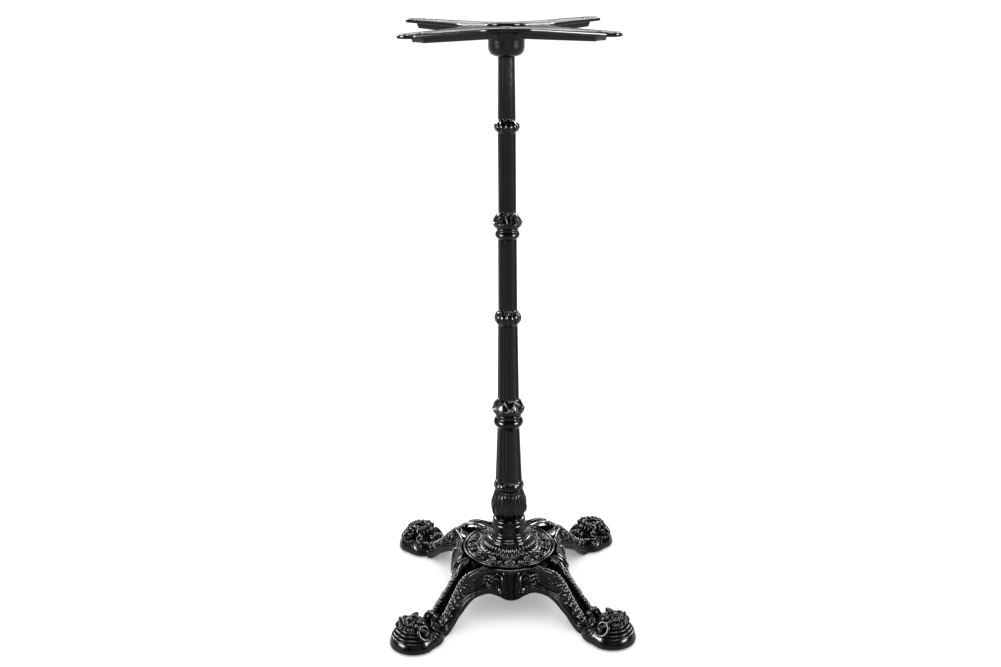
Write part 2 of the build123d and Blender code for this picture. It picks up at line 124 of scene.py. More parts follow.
# --- Top plate ---
TOP_Z = 1080.0
PLATE_THICKNESS = 6.0
PLATE_ROUNDING = 1.3
PLATE_HOLE_RADIUS = 37.0
ARM_REACH = 241.0
ARM_END_RADIUS = 18.0
ARM_ROOT = (84.0, 30.0)  # where an arm's straight side starts
WEB_RADIUS = 70.5
RIB_HALF_WIDTH = 13.8
RIB_WALL = 4.0
RIB_END_REACH = 206.0
RIB_ROOT_DEPTH = 20.0
RIB_END_DEPTH = 14.5
SCREW_HOLE_RADIUS = 3.25
SCREW_SINK_RADIUS = 4.9
SCREW_REACHES = [200.0, 230.0]
WEB_SCREW_REACH = 60.5
SHARP_ANGLE = math.radians(40)
CUP_Z = 1042.0  # the cup's inner floor

# --- Stage, in metres ---
FLOOR_HALF_SIZE = 40.0
LIGHT_TARGET = (0, 0, 0.5)


# --- Mesh tools ---
class Shells:
    """The points and faces of one piece, gathered from closed shells."""

    def __init__(self):
        self.points = []
        self.faces = []
        self.total = 0

    def add(self, points, faces):
        points = np.asarray(points, float).reshape(-1, 3)
        self.points.append(points)
        self.faces.extend([[i + self.total for i in face] for face in faces])
        self.total += len(points)
        return self

    def turned(self, degrees):
        """A copy of everything, turned about Z."""
        return Shells().add(turn(np.vstack(self.points), math.radians(degrees)), self.faces)

    def mirrored(self):
        """A copy of everything, mirrored in Y."""
        return Shells().add(np.vstack(self.points) * [1, -1, 1], self.faces)

    def merge(self, other):
        return self.add(np.vstack(other.points), other.faces)

    def merge_pair(self, half):
        """Adds a half and its mirror image."""
        return self.merge(half).merge(half.mirrored())

    def rod(self, points, radii, up=(0, 0, 1), sides=8, flat=1.0, count=30):
        """Adds a rod with rounded ends along a smooth curve, its radius following the listed ones."""
        path = spline(points, count)
        size = np.interp(np.linspace(0, 1, count), np.linspace(0, 1, len(radii)), radii)
        ends = np.minimum(np.arange(count), np.arange(count)[::-1]) / 2.5
        size = size * np.sqrt(np.clip(ends, 0.12, 1))
        return self.add(*tube(path, size, up=up, sides=sides, flat=flat))


def points_from(x, y, z):
    """Points from their coordinates, each an array or one number for all."""
    return np.stack(np.broadcast_arrays(x, y, z), axis=-1)


def turn(points, angle):
    """Points turned about Z."""
    cosine, sine = math.cos(angle), math.sin(angle)
    points = np.asarray(points, float)
    x, y = points[..., 0], points[..., 1]
    return points_from(x * cosine - y * sine, x * sine + y * cosine, points[..., 2])


def unit(vectors):
    """Vectors brought to length 1."""
    return vectors / np.linalg.norm(vectors, axis=-1, keepdims=True)


def circle(count):
    """Angles evenly spread round a circle."""
    return np.linspace(0, 2 * math.pi, count, endpoint=False)


def distances(path):
    """How far along a path each of its points is."""
    return np.concatenate([[0], np.cumsum(np.linalg.norm(np.diff(path, axis=0), axis=1))])


def smooth_step(value):
    """Eases from 0 to 1 as the value goes from 0 to 1."""
    value = np.clip(value, 0, 1)
    return value * value * (3 - 2 * value)


def within(value, low, high, blend):
    """1 between two limits and 0 beyond them, with eased ends."""
    return smooth_step((value - low) / blend) * smooth_step((high - value) / blend)


def ridge(distance, width):
    """A rounded ridge of height 1, as a function of the distance from its line."""
    return np.exp(-(distance / width) ** 2)


def spline(knots, count):
    """Points evenly spread along a smooth curve through the knots (any number of columns)."""
    knots = np.asarray(knots, float)
    ends = np.vstack([2 * knots[0] - knots[1], knots, 2 * knots[-1] - knots[-2]])
    fine = []
    t = np.linspace(0, 1, 24, endpoint=False)[:, None]
    for before, start, end, after in zip(ends, ends[1:], ends[2:], ends[3:]):
        fine.append(0.5 * (2 * start + (end - before) * t
                           + (2 * before - 5 * start + 4 * end - after) * t ** 2
                           + (3 * start - before - 3 * end + after) * t ** 3))
    fine = np.vstack(fine + [knots[-1:]])
    along = distances(fine[:, :3])
    wanted = np.linspace(0, along[-1], count)
    return np.stack([np.interp(wanted, along, fine[:, k]) for k in range(fine.shape[1])], axis=-1)


def loop_faces(rows, columns, steps):
    """Quads that join each closed loop of points to the next, for this many steps."""
    return [[row * columns + column, row * columns + (column + 1) % columns,
             (row + 1) % rows * columns + (column + 1) % columns, (row + 1) % rows * columns + column]
            for row in range(steps) for column in range(columns)]


def wrapped(sections):
    """A closed shell through closed loops, the last of which joins the first."""
    rows, columns = sections.shape[:2]
    return sections.reshape(-1, 3), loop_faces(rows, columns, rows)


def swept(sections):
    """A shell through closed loops, with its two ends closed: (loops, points in a loop, 3)."""
    rows, columns = sections.shape[:2]
    faces = loop_faces(rows, columns, rows - 1)
    start, end = rows * columns, rows * columns + 1
    faces += [[start, (c + 1) % columns, c] for c in range(columns)]
    base = (rows - 1) * columns
    faces += [[end, base + c, base + (c + 1) % columns] for c in range(columns)]
    caps = [sections[0].mean(axis=0), sections[-1].mean(axis=0)]
    return np.vstack([sections.reshape(-1, 3), caps]), faces


def path_axes(path, up):
    """Side and up directions along a path."""
    tangent = unit(np.gradient(path, axis=0))
    side = unit(np.cross(tangent, up))
    return side, np.cross(side, tangent)


def tube(path, radius, up=(0, 0, 1), flat=1.0, sides=10):
    """A closed rod along a path. radius is a number or one per point; flat scales its thickness
    along up."""
    path = np.asarray(path, float)
    radius = np.broadcast_to(np.asarray(radius, float), (len(path),))
    side, over = path_axes(path, np.asarray(up, float))
    angle = circle(sides)
    size = radius[:, None]
    sections = (path[:, None, :] + side[:, None, :] * (size * np.cos(angle))[..., None]
                + over[:, None, :] * (size * np.sin(angle) * flat)[..., None])
    return swept(sections)


def tapered(count, start, middle, end):
    """Radii along a rod that swells in its middle."""
    t = np.linspace(0, 1, count)
    swell = np.sin(math.pi * t) ** 0.7
    return start + (end - start) * t + (middle - (start + end) / 2) * swell


def sideways(out):
    """A level direction across this one, or X where this one is near upright."""
    return unit(np.cross(out, (0, 0, 1))) if abs(out[2]) < 0.9 else np.array([1.0, 0.0, 0.0])


def plane_axes(out):
    """A direction of length 1, and two more square to it and to each other."""
    out = unit(out)
    side = sideways(out)
    side = unit(side - out * side.dot(out))
    return out, side, np.cross(out, side)


def button(centre, radii, out=(0, 0, 1), rings=8, columns=14):
    """A rounded lump: radii are across and outward. It leans a little where out is near upright."""
    out = unit(out)
    side = sideways(out)
    other = np.cross(out, side)
    rise = np.linspace(-math.pi / 2 + 0.12, math.pi / 2 - 0.12, rings)
    angle = circle(columns)
    across, outward = radii
    loops = (np.asarray(centre, float)
             + (across * np.cos(rise)[:, None] * np.cos(angle))[..., None] * side
             + (across * np.cos(rise)[:, None] * np.sin(angle))[..., None] * other
             + (outward * np.sin(rise)[:, None] * np.ones(columns))[..., None] * out)
    return swept(loops)


def scroll(shells, centre, out, size, thickness, start, turns):
    """A wound scroll that rises to a button in its eye. A negative number of turns winds the
    other way."""
    out, side, other = plane_axes(out)
    t = np.linspace(0, 1, 12)[:, None]
    angle = start + 2 * math.pi * turns * t
    reach = size * (1 - 0.80 * t ** 0.9)
    path = (np.asarray(centre, float) + reach * (np.cos(angle) * side + np.sin(angle) * other)
            + out * (0.35 * thickness * t))
    shells.rod(path, [thickness * 0.6, thickness, thickness, thickness * 0.85, thickness * 0.7],
               up=out, sides=10, count=64)
    eye = np.asarray(centre, float) + out * thickness * 0.5
    shells.add(*button(eye, (size * 0.24, size * 0.24), out=out))


def ring_path(centre, out, radius, count):
    """Points evenly round a circle that faces out."""
    out, side, other = plane_axes(out)
    angle = circle(count)[:, None]
    return np.asarray(centre, float) + radius * (np.cos(angle) * side + np.sin(angle) * other)


def hoop(shells, centre, out, radius, thickness):
    """A closed ring of round section."""
    out = unit(out)
    path = ring_path(centre, out, radius, 20 + int(radius * 2))
    angle = circle(8)
    outward = (path - np.asarray(centre, float)) / radius
    loops = (path[:, None, :] + thickness * (np.cos(angle)[:, None] * outward[:, None, :]
                                             + np.sin(angle)[:, None] * out))
    shells.add(*wrapped(loops))


def flower(shells, centre, out, size):
    """A round rosette: an outer hoop, a ring of petals and a raised middle."""
    centre = np.asarray(centre, float)
    hoop(shells, centre, out, size * 0.86, size * 0.24)
    for petal in ring_path(centre, out, size * 0.42, FLOWER_PETALS):
        shells.add(*button(petal, (size * 0.22, size * 0.40), out=out, rings=6, columns=10))
    shells.add(*button(centre, (size * 0.18, size * 0.55), out=out, rings=6, columns=10))


def profile(knots, step):
    """Points along (radius, z, bulge) knots, where bulge is how far the line to the next knot
    bows out."""
    points = []
    for (r0, z0, bulge), (r1, z1, _) in zip(knots, knots[1:]):
        length = math.hypot(r1 - r0, z1 - z0)
        count = max(2, int(length / step))
        t = np.linspace(0, 1, count, endpoint=False)
        bow = 4 * bulge * t * (1 - t)
        points.append(np.c_[r0 + (r1 - r0) * t + bow * (z1 - z0) / length,
                            z0 + (z1 - z0) * t - bow * (r1 - r0) / length])
    return np.vstack(points + [[knots[-1][:2]]])


def lathe(line, relief, columns, join=swept):
    """A closed turned shell. relief(angle, radius, z) is added square to the skin."""
    tangent = unit(np.gradient(line, axis=0))
    angle = np.linspace(-math.pi, math.pi, columns, endpoint=False)
    r, z = line[:, 0][:, None], line[:, 1][:, None]
    height = relief(angle[None, :], r, z)
    radius = r + tangent[:, 1][:, None] * height
    level = z - tangent[:, 0][:, None] * height
    return join(points_from(radius * np.cos(angle), radius * np.sin(angle), level))


def smooth_skin(angle, radius, z):
    """No relief, for lathe()."""
    return 0 * (angle + radius + z)


def add_object(name, data):
    """Puts a mesh, light or camera in the scene."""
    made = bpy.data.objects.new(name, data)
    bpy.context.scene.collection.objects.link(made)
    return made


def mesh_object(name, shells, material):
    """Makes one Blender object from shells, with its faces turned outward."""
    mesh = bpy.data.meshes.new(name)
    mesh.from_pydata((np.vstack(shells.points) * MM).tolist(), [], shells.faces)
    work = bmesh.new()
    work.from_mesh(mesh)
    bmesh.ops.recalc_face_normals(work, faces=work.faces)
    work.to_mesh(mesh)
    work.free()
    mesh.polygons.foreach_set("use_smooth", [True] * len(mesh.polygons))
    mesh.materials.append(material)
    return add_object(name, mesh)


def piece(name, shells, material, node_name):
    """Makes one piece of the frame that takes the place of a CAD node's look."""
    made = mesh_object(name, shells, material)
    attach(made, BODY)
    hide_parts(node_name)
    return made


# --- Materials ---
def node(tree, kind, **values):
    """Adds a shader node, with values for its sockets or settings."""
    made = tree.nodes.new(kind)
    for name, value in values.items():
        if name in made.inputs:
            made.inputs[name].default_value = value
        else:
            setattr(made, name, value)
    return made


def blank_material(name):
    """A new material, its node tree and its shader."""
    made = bpy.data.materials.new(name)
    made.use_nodes = True
    return made, made.node_tree, made.node_tree.nodes["Principled BSDF"]


def map_range(tree, value, from_low, from_high, low, high):
    """Stretches a socket's values from one range to another."""
    limits = {"From Min": from_low, "From Max": from_high, "To Min": low, "To Max": high}
    made = node(tree, "ShaderNodeMapRange", **limits)
    tree.links.new(value, made.inputs["Value"])
    return made.outputs["Result"]


def mixed_colour(tree, share, low, high):
    """A colour between two, by a socket's share."""
    made = node(tree, "ShaderNodeMix", data_type="RGBA", A=(*low, 1), B=(*high, 1))
    tree.links.new(share, made.inputs["Factor"])
    return made.outputs["Result"]


def enamel(name, painted_highlight_gain):
    """Gloss black enamel over sand-cast iron: a faint pebbled skin under a clear gloss.
    painted_highlight_gain sets how strong the painted highlight on raised detail is: the gloss is made
    that much brighter there. The base colour is also painted lighter on raised detail, and the gloss is
    made duller in the hollows as painted shade."""
    made, tree, shader = blank_material(name)
    link = tree.links.new
    shader.inputs["Coat Roughness"].default_value = 0.06
    geometry = node(tree, "ShaderNodeNewGeometry")
    # pointiness mask of raised detail, used for the painted highlight
    edge = map_range(tree, geometry.outputs["Pointiness"], 0.50, 0.62, 0.0, 1.0)
    # painted highlight: the gloss is made brighter on raised detail; painted shade: the gloss is made
    # duller in the hollows
    painted_highlight = node(tree, "ShaderNodeMath", operation="MULTIPLY_ADD")
    link(edge, painted_highlight.inputs[0])
    painted_highlight.inputs[1].default_value = painted_highlight_gain
    painted_highlight.inputs[2].default_value = 1.0
    # painted shade: ambient occlusion dulls the specular and coat in hollows, creases and flutes
    painted_shade_occlusion = node(tree, "ShaderNodeAmbientOcclusion", Distance=0.009, samples=6)
    for socket, low, high in (("Specular IOR Level", 0.01, 0.08), ("Coat Weight", 0.02, 0.13)):
        shade_dulled_shine = map_range(tree, painted_shade_occlusion.outputs["AO"], 0.34, 0.82, low, high)
        shaded_and_highlighted_gloss = node(tree, "ShaderNodeMath", operation="MULTIPLY")
        link(shade_dulled_shine, shaded_and_highlighted_gloss.inputs[0])
        link(painted_highlight.outputs["Value"], shaded_and_highlighted_gloss.inputs[1])
        link(shaded_and_highlighted_gloss.outputs["Value"], shader.inputs[socket])
    place = node(tree, "ShaderNodeTexCoord")
    cast = node(tree, "ShaderNodeTexNoise", Scale=420.0, Detail=4.0, Roughness=0.55)
    wave = node(tree, "ShaderNodeTexNoise", Scale=55.0, Detail=2.0, Roughness=0.5)
    cloud = node(tree, "ShaderNodeTexNoise", Scale=12.0, Detail=3.0, Roughness=0.6)
    for texture in (cast, wave, cloud):
        link(place.outputs["Object"], texture.inputs["Vector"])
    rough = map_range(tree, cloud.outputs["Fac"], 0.3, 0.7, 0.15, 0.25)
    link(rough, shader.inputs["Roughness"])
    # painted highlight: the base colour is lighter on raised detail
    colour = mixed_colour(tree, edge, (0.0014, 0.0014, 0.0015), (0.0055, 0.0055, 0.0058))
    link(colour, shader.inputs["Base Color"])
    fine = node(tree, "ShaderNodeBump", Strength=0.22, Distance=0.0004)
    broad = node(tree, "ShaderNodeBump", Strength=0.40, Distance=0.0009)
    link(cast.outputs["Fac"], fine.inputs["Height"])
    link(wave.outputs["Fac"], broad.inputs["Height"])
    link(broad.outputs["Normal"], fine.inputs["Normal"])
    link(fine.outputs["Normal"], shader.inputs["Normal"])
    return made


def zinc():
    """Bright zinc plate with a fine spangle."""
    made, tree, shader = blank_material("zinc_steel")
    link = tree.links.new
    shader.inputs["Metallic"].default_value = 1.0
    place = node(tree, "ShaderNodeTexCoord")
    spangle = node(tree, "ShaderNodeTexVoronoi", Scale=900.0)
    link(place.outputs["Object"], spangle.inputs["Vector"])
    colour = mixed_colour(tree, spangle.outputs["Distance"], (0.52, 0.53, 0.55), (0.66, 0.67, 0.68))
    link(colour, shader.inputs["Base Color"])
    rough = map_range(tree, spangle.outputs["Distance"], 0.0, 1.0, 0.25, 0.45)
    link(rough, shader.inputs["Roughness"])
    return made


def moulded():
    """Black moulded plastic with a fine grain."""
    made, tree, shader = blank_material("glide_plastic")
    link = tree.links.new
    shader.inputs["Base Color"].default_value = (0.02, 0.02, 0.02, 1)
    place = node(tree, "ShaderNodeTexCoord")
    grain = node(tree, "ShaderNodeTexNoise", Scale=1500.0, Detail=2.0)
    link(place.outputs["Object"], grain.inputs["Vector"])
    rough = map_range(tree, grain.outputs["Fac"], 0.0, 1.0, 0.45, 0.65)
    link(rough, shader.inputs["Roughness"])
    bump = node(tree, "ShaderNodeBump", Strength=0.2, Distance=0.0002)
    link(grain.outputs["Fac"], bump.inputs["Height"])
    link(bump.outputs["Normal"], shader.inputs["Normal"])
    return made


# --- Column ---
def around(angle, count, start):
    """Angle from the middle of the nearest of count equal sectors, from -1 to 1 at their borders."""
    pitch = 2 * math.pi / count
    return ((angle - start + pitch / 2) % pitch - pitch / 2) / (pitch / 2)


def flutes(angle, radius, z, low, high):
    """Round grooves with narrow flats between them, closed off just before the shaft's ends."""
    across = np.abs(around(angle, FLUTES, FLUTE_TURN))
    groove = np.sqrt(np.clip(1 - (across / FLUTE_WIDTH) ** 2, 0, 1))
    return -FLUTE_DEPTH * radius * groove * within(z, low, high, 3.0)


def petals(angle, share, fullness, rim, veining):
    """Broad leaves round a knob or bulb; share runs from 0 at a leaf's root to 1 at its tip."""
    across = around(angle, LEAVES, LEAF_TURN)
    width = 0.97 * np.clip(1 - np.clip(share, 0, 1) ** 2.0, 0, 1) ** 0.75
    spread = across / np.maximum(width, 0.08)
    inside = smooth_step((width - np.abs(across)) / 0.08)
    edge = rim * ridge(np.abs(spread) - 0.88, 0.10)
    veins = 0.5 * ridge(spread, 0.08) - veining * np.cos(np.abs(spread) * 13 + share * 9)
    return inside * (fullness + edge + veins * (1 - np.clip(share, 0, 1) ** 4))


def gadroons(angle, z, middle, height, count, slant):
    """Leaning rounded lobes round a bead, as high as it is."""
    lean = slant * (z - middle) / height
    across = around(angle + lean * 2 * math.pi / count, count, LEAF_TURN)
    return np.sqrt(np.clip(1 - across ** 2, 0, 1)) - 0.75


def knob_leaves(angle, z, low, high):
    """Hollow leaves with raised edges round a knob."""
    share = (z - low - 1.5) / (high - low - 2)
    return petals(angle, share, fullness=-0.4, rim=1.1, veining=0) * within(z, low, high, 2)


def lower_relief(angle, radius, z):
    """The leafy bulb with creases above its leaves, the slanted bead and the fluted shaft."""
    tip, root = BULB_LEAVES
    share = (root - z) / (root - tip)
    leaves = petals(angle, share, fullness=0.5, rim=0.8, veining=0.22)
    bulb = 2.2 * leaves * within(z, *BULB, 3)
    creases = np.abs(np.sin(LEAVES * 2 * (angle - LEAF_TURN))) ** 0.7
    tips = -2.2 * creases * smooth_step((z - 184) / 28) * smooth_step((219 - z) / 5)
    lobes = gadroons(angle, z, middle=228, height=17, count=13, slant=1.0)
    rope = 1.2 * lobes * within(z, *ROPE, 3)
    return bulb + tips + rope + flutes(angle, radius, z, *LOWER_SHAFT)


def middle_relief(angle, radius, z):
    """A leafy knob over its lip, and a leaf ring between two fluted shafts."""
    knob = 2.2 * knob_leaves(angle, z, *MIDDLE_KNOB)
    lip = 1.1 * ridge(z - MIDDLE_LIP_Z, 1.5)
    lobes = gadroons(angle, z, middle=565, height=22, count=10, slant=0.25)
    leaf_ring = 3.0 * lobes * within(z, *MIDDLE_LEAF_RING, 4)
    shafts = [flutes(angle, radius, z, low, high) for low, high in MIDDLE_SHAFTS]
    return knob + lip + leaf_ring + sum(shafts)


def upper_relief(angle, radius, z):
    """The same as the middle section's, a little slimmer."""
    knob = 1.9 * knob_leaves(angle, z, *UPPER_KNOB)
    lip = 1.0 * ridge(z - UPPER_LIP_Z, 1.4)
    lobes = gadroons(angle, z, middle=910.5, height=20, count=10, slant=0.25)
    leaf_ring = 2.8 * lobes * within(z, *UPPER_LEAF_RING, 4)
    shafts = [flutes(angle, radius, z, low, high) for low, high in UPPER_SHAFTS]
    return knob + lip + leaf_ring + sum(shafts)


# The outlines are (radius, height, bulge) knots for profile().
LOWER_LINE = [(32.3, 135, 0), (32.3, 149.5, 0), (30.9, 151.5, 0), (30.9, 153.4, 2.6),
              (26.2, 161.9, 1.9), (32.2, 185.5, 2.25), (24.4, 219, 3.6), (25.5, 236.5, 0),
              (25.3, 238, 0), (20.85, 347.4, 0), (21.6, 349.8, 5.4), (23.2, 368.2, 0), (23.2, 369, 0)]
MIDDLE_LINE = [(23.2, 369, 0), (23.4, 371.5, 0), (24.1, 372.2, 0), (24.1, 374.2, 0), (23.3, 375, 0),
               (23.4, 376, 2.4), (29.6, 386.3, 1.0), (20.1, 404.5, 0), (19.95, 405.5, 0),
               (18.05, 549, 0), (17.8, 551, 6.4), (17.4, 576.8, 0), (17.3, 578, 0), (16.7, 710.5, 0),
               (16.9, 712, 4.0), (18.9, 726.2, 0), (18.9, 727, 0)]
UPPER_LINE = [(18.9, 727, 0), (19.0, 728.6, 0), (19.7, 729.3, 0), (19.7, 730.8, 0), (19.1, 731.4, 2.2),
              (26.3, 741.5, 0.9), (15.9, 758.3, 0), (15.8, 759, 0), (15.65, 898, 0), (15.7, 900.5, 6.1),
              (15.4, 920.8, 0), (15.3, 922, 0), (14.2, 1029, 0), (14.2, 1033, 0)]


def column(material):
    """The three cast sections of the column."""
    for name, knots, relief in (("column_lower_section", LOWER_LINE, lower_relief),
                                ("column_middle_section", MIDDLE_LINE, middle_relief),
                                ("column_upper_section", UPPER_LINE, upper_relief)):
        shells = Shells().add(*lathe(profile(knots, 0.9), relief, 192))
        piece(name + "_cast", shells, material, name)


# --- Rosette hub ---
HUB_LINE = [(14.0, 112, 0), (30.0, 110, 0), (60.0, 92.5, 0), (83.0, 93.2, 0), (88.4, 93.2, 0),
            (89.0, 94.2, 0), (89.0, 98.4, 0), (88.2, 99.4, 0), (86.0, 99.4, 0), (84.6, 98.4, 0),
            (84.0, 95.4, 0), (82.2, 95.0, 0), (81.2, 97.2, 0), (80.4, 97.6, 0), (62.4, 99.0, 0),
            (61.2, 100.6, 0), (59.2, 101.2, 0), (56.8, 101.2, 0), (55.6, 102.2, -2.6), (43.4, 117.6, 0),
            (42.4, 119.2, 0.7), (40.9, 122.2, 0), (39.2, 122.8, 0), (38.2, 125.0, -1.2),
            (33.6, 131.5, 0), (32.9, 133.0, 0), (32.7, 134.9, 0), (14.0, 135.0, 0)]


def hub_relief(angle, radius, z):
    """Reeds down the cove."""
    reeds = np.abs(np.sin(REEDS / 2 * (angle - ROSETTE_TURN)))
    return -3.0 * (1 - reeds ** 0.6) * within(radius, *COVE, 1.6) * (z > 101.8)


def rosette(material):
    """The hub: a reeded cove inside a band of flowers, with three bars between each two."""
    shells = Shells().add(*lathe(profile(HUB_LINE, 1.0), hub_relief, 360))
    up = np.array([0.05, 0.0, 1.0])
    band = Shells()
    flower(band, (BAND_RADIUS, 0, 98.8), up, 7.0)
    hoop(band, (BAND_RADIUS, 0, 98.9), up, 8.6, 1.25)
    between = Shells()
    for offset in (-3.4, 0.0, 3.4):
        length = 5.6 if offset == 0 else 7.2
        between.rod([(BAND_RADIUS - length, offset, 99.3), (BAND_RADIUS, offset * 0.7, 99.8),
                     (BAND_RADIUS + length, offset, 98.2)], [1.1, 1.5, 1.1], count=12)
    for number in range(ROSETTES):
        turned_by = math.degrees(ROSETTE_TURN) + number * 360 / ROSETTES
        shells.merge(band.turned(turned_by))
        shells.merge(between.turned(turned_by + 180 / ROSETTES))
    for radius, z, size in ((61.2, 100.2, 1.3), (80.6, 97.2, 1.5)):
        hoop(shells, (0, 0, z), (0, 0, 1), radius, size)
    piece("hub_rosette_cast", shells, material, "hub_rosette")


# --- Skirts and leg sides ---
# Matching points of the top and bottom edges of one side of the base, from the middle of a skirt
# out along a leg: forward, aside and up for the top edge, then the same for the bottom edge.
APRON = [
    ((95.0, 0, 92.6), (115.0, 0, 43)), ((93.5, 13, 92.8), (115.0, 12, 45.5)),
    ((91.5, 24, 93.4), (113.5, 24, 52)), ((94.0, 40, 95.2), (112, 40, 57)),
    ((99.0, 53, 96.2), (110, 54, 53.5)), ((104, 64, 96.2), (108.5, 68.0, 46)),
    ((108, 76, 93.0), (113.5, 74.5, 43)), ((109.5, 86.5, 86.0), (118.8, 79.2, 41)),
    ((115.7, 96.6, 76), (126.6, 85.6, 37)), ((123.3, 103, 66), (134.4, 91.9, 31.5)),
    ((131.1, 109.4, 55.5), (142.1, 99.7, 25)), ((138.9, 115.7, 45.5), (148.5, 106, 16.5)),
    ((146.7, 122, 36), (154.9, 112.4, 9)), ((156.6, 130.5, 28.5), (161.2, 118.8, 3.4)),
    ((166.0, 138.0, 26), (172.0, 127.0, 3.4))]


class Apron:
    """One skirt with the two leg sides that flow from it: a curved sheet with ornament on it."""

    def __init__(self, lengths, heights):
        half = np.array([top + bottom for top, bottom in APRON], float)
        mirrored = half[:0:-1] * [1, -1, 1, 1, -1, 1]
        edges = spline(np.vstack([mirrored, half]), lengths)
        top, bottom = edges[:, None, :3], edges[:, None, 3:]
        self.share = np.linspace(0, 1, heights)
        self.grid = top + (bottom - top) * self.share[None, :, None]
        self.aside = self.grid[:, :, 1]
        self.height = np.linalg.norm(bottom - top, axis=2) * (1 - self.share[None, :])
        self.normal = self.outward()
        bow = APRON_BOW * np.sin(math.pi * self.share) ** 1.2
        bow = bow * smooth_step((np.abs(self.aside) - 18) / 14)
        self.grid = self.grid - self.normal * bow[..., None]
        self.normal = self.outward()

    def outward(self):
        """The direction square to the skin at each of its points."""
        along = np.gradient(self.grid, axis=0)
        down = np.gradient(self.grid, axis=1)
        out = unit(np.cross(along, -down))
        return out * np.sign((out[:, :, 0]).mean())

    def at(self, aside, share, lift):
        """A point on the skin: its distance aside at mid height, and its share of the way down."""
        row = np.interp(aside, self.aside[:, len(self.share) // 2], np.arange(len(self.grid)))
        column = np.clip(share, 0, 1) * (len(self.share) - 1)
        low_row, low_column = int(row), int(column)
        next_row = min(low_row + 1, len(self.grid) - 1)
        next_column = min(low_column + 1, len(self.share) - 1)
        part, down = row - low_row, column - low_column
        mixed = []
        for field in (self.grid, self.normal):
            upper = field[low_row, low_column] * (1 - part) + field[next_row, low_column] * part
            lower = field[low_row, next_column] * (1 - part) + field[next_row, next_column] * part
            mixed.append(upper * (1 - down) + lower * down)
        return mixed[0] + mixed[1] * lift

    def line(self, low_aside, high_aside, height, lift):
        """Points along the skin at an even height above the lower edge, on one side."""
        rows = np.where((self.aside[:, -1] >= low_aside) & (self.aside[:, -1] <= high_aside))[0][::3]
        points = []
        for row in rows:
            points.append([np.interp(height, self.height[row][::-1], self.grid[row, ::-1, k])
                           + lift * self.normal[row, len(self.share) // 2, k] for k in range(3)])
        return np.array(points)

    def relief(self):
        """The pendant's upright hollow between rounded ridges, and the plain band along the lower
        edge, which leans in below."""
        beside = np.abs(self.aside)
        hollow = -1.9 * np.cos(np.clip(beside / PENDANT_HALF_WIDTH, 0, 1) * math.pi / 2) ** 2
        edges = 1.5 * ridge(beside - 12.6, 3.2) - 2.4 * ridge(beside - 20.5, 4.2)
        ends = smooth_step(self.share / 0.12) * smooth_step((1 - self.share) / 0.22)
        above = BAND_HEIGHT + 7.5 - self.height
        band = smooth_step(self.height / BAND_HEIGHT) * smooth_step(above / 4.5)
        return (hollow + edges) * ends + BAND_RISE * band * smooth_step((beside - 15) / 9)

    def shell(self):
        """The sheet with its thickness."""
        outer = self.grid + self.normal * self.relief()[..., None]
        inner = (self.grid - self.normal * APRON_THICKNESS)[:, ::-6]
        return swept(np.concatenate([outer, inner], axis=1))


def apron_ornament(shells, apron):
    """The carving on one half of the sheet, which is then mirrored to the other."""
    def stroke(points, radii):
        path = [apron.at(aside, share, 0.7) for aside, share in points]
        shells.rod(path, radii, up=(1, 0, 0.35), flat=0.9, count=28)

    # two fine lines above the smooth lower edge, from the pendant down to the foot
    for height, low_aside in ((BAND_HEIGHT, 22), (BAND_HEIGHT + 4.2, 26)):
        path = apron.line(low_aside, 122, height, BAND_RISE + 0.5)
        shells.add(*tube(path, 1.5, up=(1, 0, 0.4), sides=10))
    # the arch that springs from the pendant, and its curl
    stroke([(17.5, 0.74), (17.6, 0.36), (20, 0.20), (25, 0.13), (31, 0.17), (35, 0.30), (34.5, 0.44),
            (31.5, 0.47)], [1.0, 1.8, 2.3, 2.6, 2.3, 2.0, 1.7, 1.2])
    stroke([(24, 0.44), (25.5, 0.34), (29.5, 0.33), (30.5, 0.40)], [0.7, 1.8, 1.7, 0.8])
    # leaves that follow the upper edge towards the leg
    for points in ([(36.5, 0.34), (42, 0.22), (51, 0.22), (60, 0.28), (67, 0.30)],
                   [(39, 0.46), (45, 0.36), (54, 0.36), (63, 0.42), (71, 0.42)],
                   [(43, 0.54), (50, 0.49), (59, 0.51), (68, 0.55), (76, 0.53)]):
        stroke(points, [0.9, 2.6, 2.0, 1.8, 0.8])
    for aside, share, size in ((37.5, 0.46, 2.4), (71, 0.21, 2.5), (77, 0.34, 2.3), (82, 0.22, 2.3)):
        shells.add(*button(apron.at(aside, share, 0.8), (size, size), out=(1, 0, 0.4)))
    # curled leaves climbing the leg's side, below its beaded edge
    for start in np.arange(82, 118, LEAF_PITCH):
        stroke([(start, 0.56), (start + 1.5, 0.36), (start + 5.0, 0.20), (start + 9.5, 0.22),
                (start + 10.0, 0.38), (start + 6.5, 0.42)], [0.9, 2.4, 2.7, 2.5, 2.0, 1.2])
        stroke([(start + 4.0, 0.56), (start + 8.0, 0.52), (start + 11.5, 0.50)], [0.8, 1.8, 0.8])


# --- Legs, drawn along X and then turned ---
def rim_z(reach):
    """The height of a leg's rims, which fall from the deck to the foot in one smooth wave."""
    share = np.clip((reach - EASE_START) / EASE_LENGTH, 0, 1)
    return LEG_LOW_Z + (LEG_HIGH_Z - LEG_LOW_Z) * (1 + np.cos(math.pi * share)) / 2


def rim_half_width(reach):
    """Half the width over a leg's rims, which is least at the waist."""
    outside = np.maximum(0, reach - RIM_WAIST)
    inside = np.maximum(0, RIM_WAIST - np.maximum(reach, EASE_START))
    return RIM_HALF_WIDTH + 0.1 * outside + 0.006 * inside ** 2


